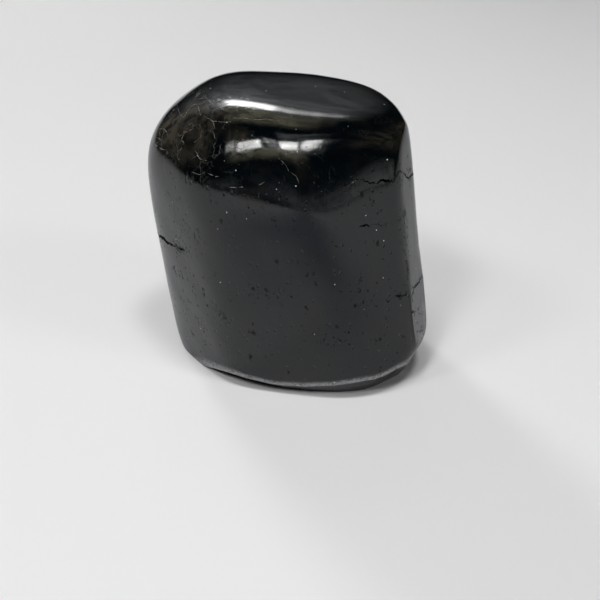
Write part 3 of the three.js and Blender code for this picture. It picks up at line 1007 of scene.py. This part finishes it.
def brokenFinish(group):
    material, tree, shader = newFinish("brokenTourmaline")
    shader.inputs["IOR"].default_value = broken["ior"]
    inMm, patterns = placePatterns(tree, group)
    grain = patterns["Grain"]
    dust = easing(tree, noise(tree, inMm, *broken["dust"]), *broken["dustShare"])
    tree.links.new(mixColour(tree, dust, broken["deep"], broken["dusty"]), shader.inputs["Base Color"])
    tree.links.new(easing(tree, grain, 0.35, 0.65, *broken["roughness"]), shader.inputs["Roughness"])
    steps = cellNode(tree, inMm, broken["stepScale"], "F1").outputs["Distance"]
    height = plus(tree, times(tree, steps, broken["stepHeight"]), times(tree, grain, broken["grainHeight"]))
    height = plus(tree, height, times(tree, patterns["Striation"], broken["striationHeight"]))
    addRelief(tree, shader, height)
    return material


# ---- the stone

print("sawing the blank")
stone = sawnBlank()
print("tumbling it")
tumble(stone)
ripple(stone)
grind(stone)
patterns = crystalPatterns()
stone.data.materials.append(polishedFinish(patterns))
print("breaking its skin")
breakSkin(stone, brokenFinish(patterns), healedAndGlintFinish(patterns))
markEdge(stone)
makeActive(stone)
bpy.ops.object.shade_smooth_by_angle(angle=math.radians(stoneShape["sharpAngle"]))
crispBreaks(stone)
print("stone mesh:", len(stone.data.polygons), "faces")
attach(stone, "root")
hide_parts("stone")

# ---- floor, light and camera

studio = {
    "floorSide": 1.4,                    # m
    "floorColour": (0.8, 0.8, 0.802, 1),
    "floorRoughness": 0.6,
    "floorSpecular": 0.25,
    # painted reflection tint: in reflections the floor's colour turns towards this dark blue
    "floorMirrorTint": (0.0, 0.03, 0.09, 1),
    "floorMirrorTone": 0.2,              # painted shade: how far the floor's colour dims in reflections only
    "floorPaintedShadowTone": 0.45,              # painted shadow: how much further the floor's colour dims in front, in reflections only
    "floorPaintedShadowFade": (-18, -75),        # mm, where that begins and is full
    "floorPaintedShadowWidth": (-75, 0, 8, 75),  # mm across
    "ambientLow": 0.03,                  # soft light from the walls
    "ambientHigh": 0.02,                 # soft light from the ceiling
    "ambientFade": (0.1, 0.85),
    "backdrop": 0.62,
    "lampDistance": 0.62,                # m
    # direction of each lamp from the stone, its power (W) and its width (m)
    "lamps": [
        ("lampFrontRight", (0.14, -0.24, 0.96), 1.02, 0.12),
        ("lampFrontLeft", (-0.14, -0.24, 0.96), 0.84, 0.12),
        ("lampFrontLow", (-0.32, -0.56, 0.77), 0.94, 0.12),
        ("lampLeft", (-0.56, -0.32, 0.77), 0.40, 0.12),
        ("lampRightLow", (0.71, -0.41, 0.57), 0.44, 0.12),
        ("lampBackLow", (-0.41, 0.71, 0.57), 1.00, 0.12),
    ],
    "lens": 54.0,
    "sensor": 36.0,
    "clipping": (0.01, 20),                 # m
    "cameraPlace": (1.54, -115.42, 74.3),   # mm
    "cameraPitch": 30.0,                    # degrees down from level
    # what the polish mirrors: the room's own tone, and soft patches of light in these tints
    "roomTone": (0.007, 0.008, 0.008),
    "roomClouds": (9.0, 4.0, 0.65),         # noise that breaks them up: scale, detail, roughness
    "cloudRange": (0.4, 0.6, 0.15, 1.5),    # from noise to brightness
    "tints": {
        "white": (1.0, 1.0, 0.98),
        "neutral": (0.95, 0.98, 1.0),
        "teal": (0.75, 0.97, 1.0),
        "olive": (1.0, 0.94, 0.66),
        "brown": (1.0, 0.84, 0.6),
    },
    # each patch: degrees over the top from the far horizon, degrees to the right, both as start, full, full,
    # end, and then its brightness, its tint and how much the room breaks it up
    "roomPatches": [
        # the far wall and the window above it
        ((2, 44, 60, 75), (-60, -32, 4, 20), 0.42, "neutral", 0.4),
        ((28, 50, 60, 66), (-48, -28, -4, 10), 0.65, "neutral", 0.4),
        ((47, 54, 60, 64), (-25, -17, 0, 5), 15.0, "white", 0.0),
        ((50, 56, 60, 64), (-36, -24, -20, -12), 4.0, "white", 0.4),
        ((47, 53, 58, 62), (0, 3, 6, 12), 3.0, "white", 0.9),
        # the ceiling
        ((62, 70, 88, 102), (-45, -20, 3, 12), 0.8, "olive", 0.6),
        ((90, 105, 130, 140), (16, 26, 50, 60), 0.1, "brown", 1.0),
        ((100, 116, 130, 138), (-44, -36, -26, -18), 0.3, "brown", 0.8),
        # the lamp in front, behind its louvre
        ((119, 123, 131, 137), (-40, -30, 12, 18), 1.0, "neutral", 0.8),
        ((116, 120, 125, 129), (-44, -40, -35, -32), 5.0, "white", 0.6),
        ((121, 124, 130, 133), (-31, -28, -16, -13), 14.0, "white", 0.4),
        ((118, 121, 129, 132), (-12, -10, -6, -4), 4.0, "white", 0.8),
        ((120, 123, 131, 134), (-3, -1, 5, 7), 16.0, "white", 0.35),
        ((119, 122, 130, 133), (8, 9.5, 12, 14), 13.0, "white", 0.5),
        ((107, 111, 117, 121), (-4, 0, 10, 16), 0.5, "neutral", 0.8),
        ((130, 134, 138, 146), (-44, -24, 6, 13), 0.7, "olive", 0.8),
        # the sides of the room
        ((-10, 15, 70, 110), (-82, -66, -45, -30), 0.24, "brown", 1.0),
        ((-10, 20, 110, 150), (28, 42, 75, 88), 0.1, "brown", 1.0),
        # low in front
        ((140, 160, 178, 182), (-50, -25, 30, 45), 0.04, "teal", 1.0),
        ((156, 174, 190, 195), (-26, -4, 60, 78), 0.27, "neutral", 0.6),
        ((148, 161, 190, 195), (26, 44, 60, 78), 0.24, "neutral", 0.5),
        ((160, 174, 181, 184), (-78, -64, -32, -22), 0.2, "neutral", 0.8),
    ],
}


def floorFinish():
    material, tree, shader = newFinish("paleFloor")
    shader.inputs["Roughness"].default_value = studio["floorRoughness"]
    shader.inputs["Specular IOR Level"].default_value = studio["floorSpecular"]
    coords = tree.nodes.new("ShaderNodeTexCoord")
    place = splitNode(tree, mapNode(tree, coords.outputs["Object"], scale=(1 / mm, 1 / mm, 1 / mm)))
    # painted shade, in reflections only: the floor's colour dims towards the dark blue tint everywhere, and
    # a painted shadow darkens it further in front of the stone
    paintedShadowAlong = easing(tree, place[1], *studio["floorPaintedShadowFade"])
    middle = window(tree, place[0], *studio["floorPaintedShadowWidth"])
    path = tree.nodes.new("ShaderNodeLightPath")
    paintedShade = times(tree, times(tree, paintedShadowAlong, middle), studio["floorPaintedShadowTone"])
    paintedShade = times(tree, plus(tree, paintedShade, studio["floorMirrorTone"]), path.outputs["Is Glossy Ray"])
    colour = mixColour(tree, paintedShade, studio["floorColour"], studio["floorMirrorTint"])
    tree.links.new(colour, shader.inputs["Base Color"])
    return material


def addFloor():
    deselectAll()
    bpy.ops.mesh.primitive_plane_add(size=studio["floorSide"], location=(0, 0, 0))
    floor = bpy.context.object
    floor.name = "studioFloor"
    floor.data.materials.append(floorFinish())


def addLamp(name, direction, power, width):
    light = bpy.data.lights.new(name, "AREA")
    light.shape = "DISK"
    light.size = width
    light.energy = power
    lamp = bpy.data.objects.new(name, light)
    bpy.context.scene.collection.objects.link(lamp)
    lamp.location = Vector(direction).normalized() * studio["lampDistance"]
    lamp.rotation_euler = Vector(direction).to_track_quat("Z", "Y").to_euler()
    lamp.visible_glossy = False


def background(tree):
    return tree.nodes.new("ShaderNodeBackground")


def switched(tree, factor, plainShader, otherShader):
    node = tree.nodes.new("ShaderNodeMixShader")
    for socket, source in zip(node.inputs, (factor, plainShader.outputs[0], otherShader.outputs[0])):
        tree.links.new(source, socket)
    return node


def mirroredRoom(tree, direction):
    # the room's tone with every patch of light added
    x, y, z = splitNode(tree, direction)
    over = times(tree, mathNode(tree, "ARCTAN2", z, y), 180 / math.pi)
    over = mathNode(tree, "WRAP", over, 270.0, third=-90.0)
    side = times(tree, mathNode(tree, "ARCSINE", x), 180 / math.pi)
    clouds = easing(tree, noise(tree, direction, *studio["roomClouds"]), *studio["cloudRange"])
    seen = studio["roomTone"]
    for overRange, sideRange, strength, tint, brokenUp in studio["roomPatches"]:
        amount = times(tree, window(tree, over, *overRange), window(tree, side, *sideRange))
        amount = times(tree, amount, mixValue(tree, brokenUp, 1.0, clouds))
        glow = tree.nodes.new("ShaderNodeVectorMath")
        glow.operation = "SCALE"
        glow.inputs[0].default_value = Vector(studio["tints"][tint]) * strength
        tree.links.new(amount, glow.inputs["Scale"])
        total = tree.nodes.new("ShaderNodeVectorMath")
        setOrLink(tree, total.inputs[0], seen)
        tree.links.new(glow.outputs[0], total.inputs[1])
        seen = total.outputs[0]
    return seen, z


def addWorld():
    world = bpy.data.worlds.new("studio")
    bpy.context.scene.world = world
    world.use_nodes = True
    tree = world.node_tree
    tree.nodes.clear()
    direction = tree.nodes.new("ShaderNodeTexCoord").outputs["Generated"]
    seen, z = mirroredRoom(tree, direction)
    path = tree.nodes.new("ShaderNodeLightPath")
    plain = background(tree)
    plain.inputs["Strength"].default_value = studio["backdrop"]
    ambient = background(tree)
    level = easing(tree, z, *studio["ambientFade"], studio["ambientLow"], studio["ambientHigh"])
    tree.links.new(level, ambient.inputs["Strength"])
    mirrored = background(tree)
    tree.links.new(seen, mirrored.inputs["Color"])
    glossy = switched(tree, path.outputs["Is Glossy Ray"], ambient, mirrored)
    final = switched(tree, path.outputs["Is Camera Ray"], glossy, plain)
    out = tree.nodes.new("ShaderNodeOutputWorld")
    tree.links.new(final.outputs[0], out.inputs["Surface"])
    world.cycles.sampling_method = "NONE"


def addCamera():
    data = bpy.data.cameras.new("camera")
    data.lens = studio["lens"]
    data.sensor_width = studio["sensor"]
    data.clip_start, data.clip_end = studio["clipping"]
    camera = bpy.data.objects.new("camera", data)
    bpy.context.scene.collection.objects.link(camera)
    camera.location = Vector(studio["cameraPlace"]) * mm
    camera.rotation_euler = (math.radians(90 - studio["cameraPitch"]), 0, 0)
    bpy.context.scene.camera = camera


print("lighting the studio")
addFloor()
addWorld()
for lampName, lampDirection, lampPower, lampWidth in studio["lamps"]:
    addLamp(lampName, lampDirection, lampPower, lampWidth)
addCamera()
bpy.context.scene.view_settings.view_transform = "Standard"
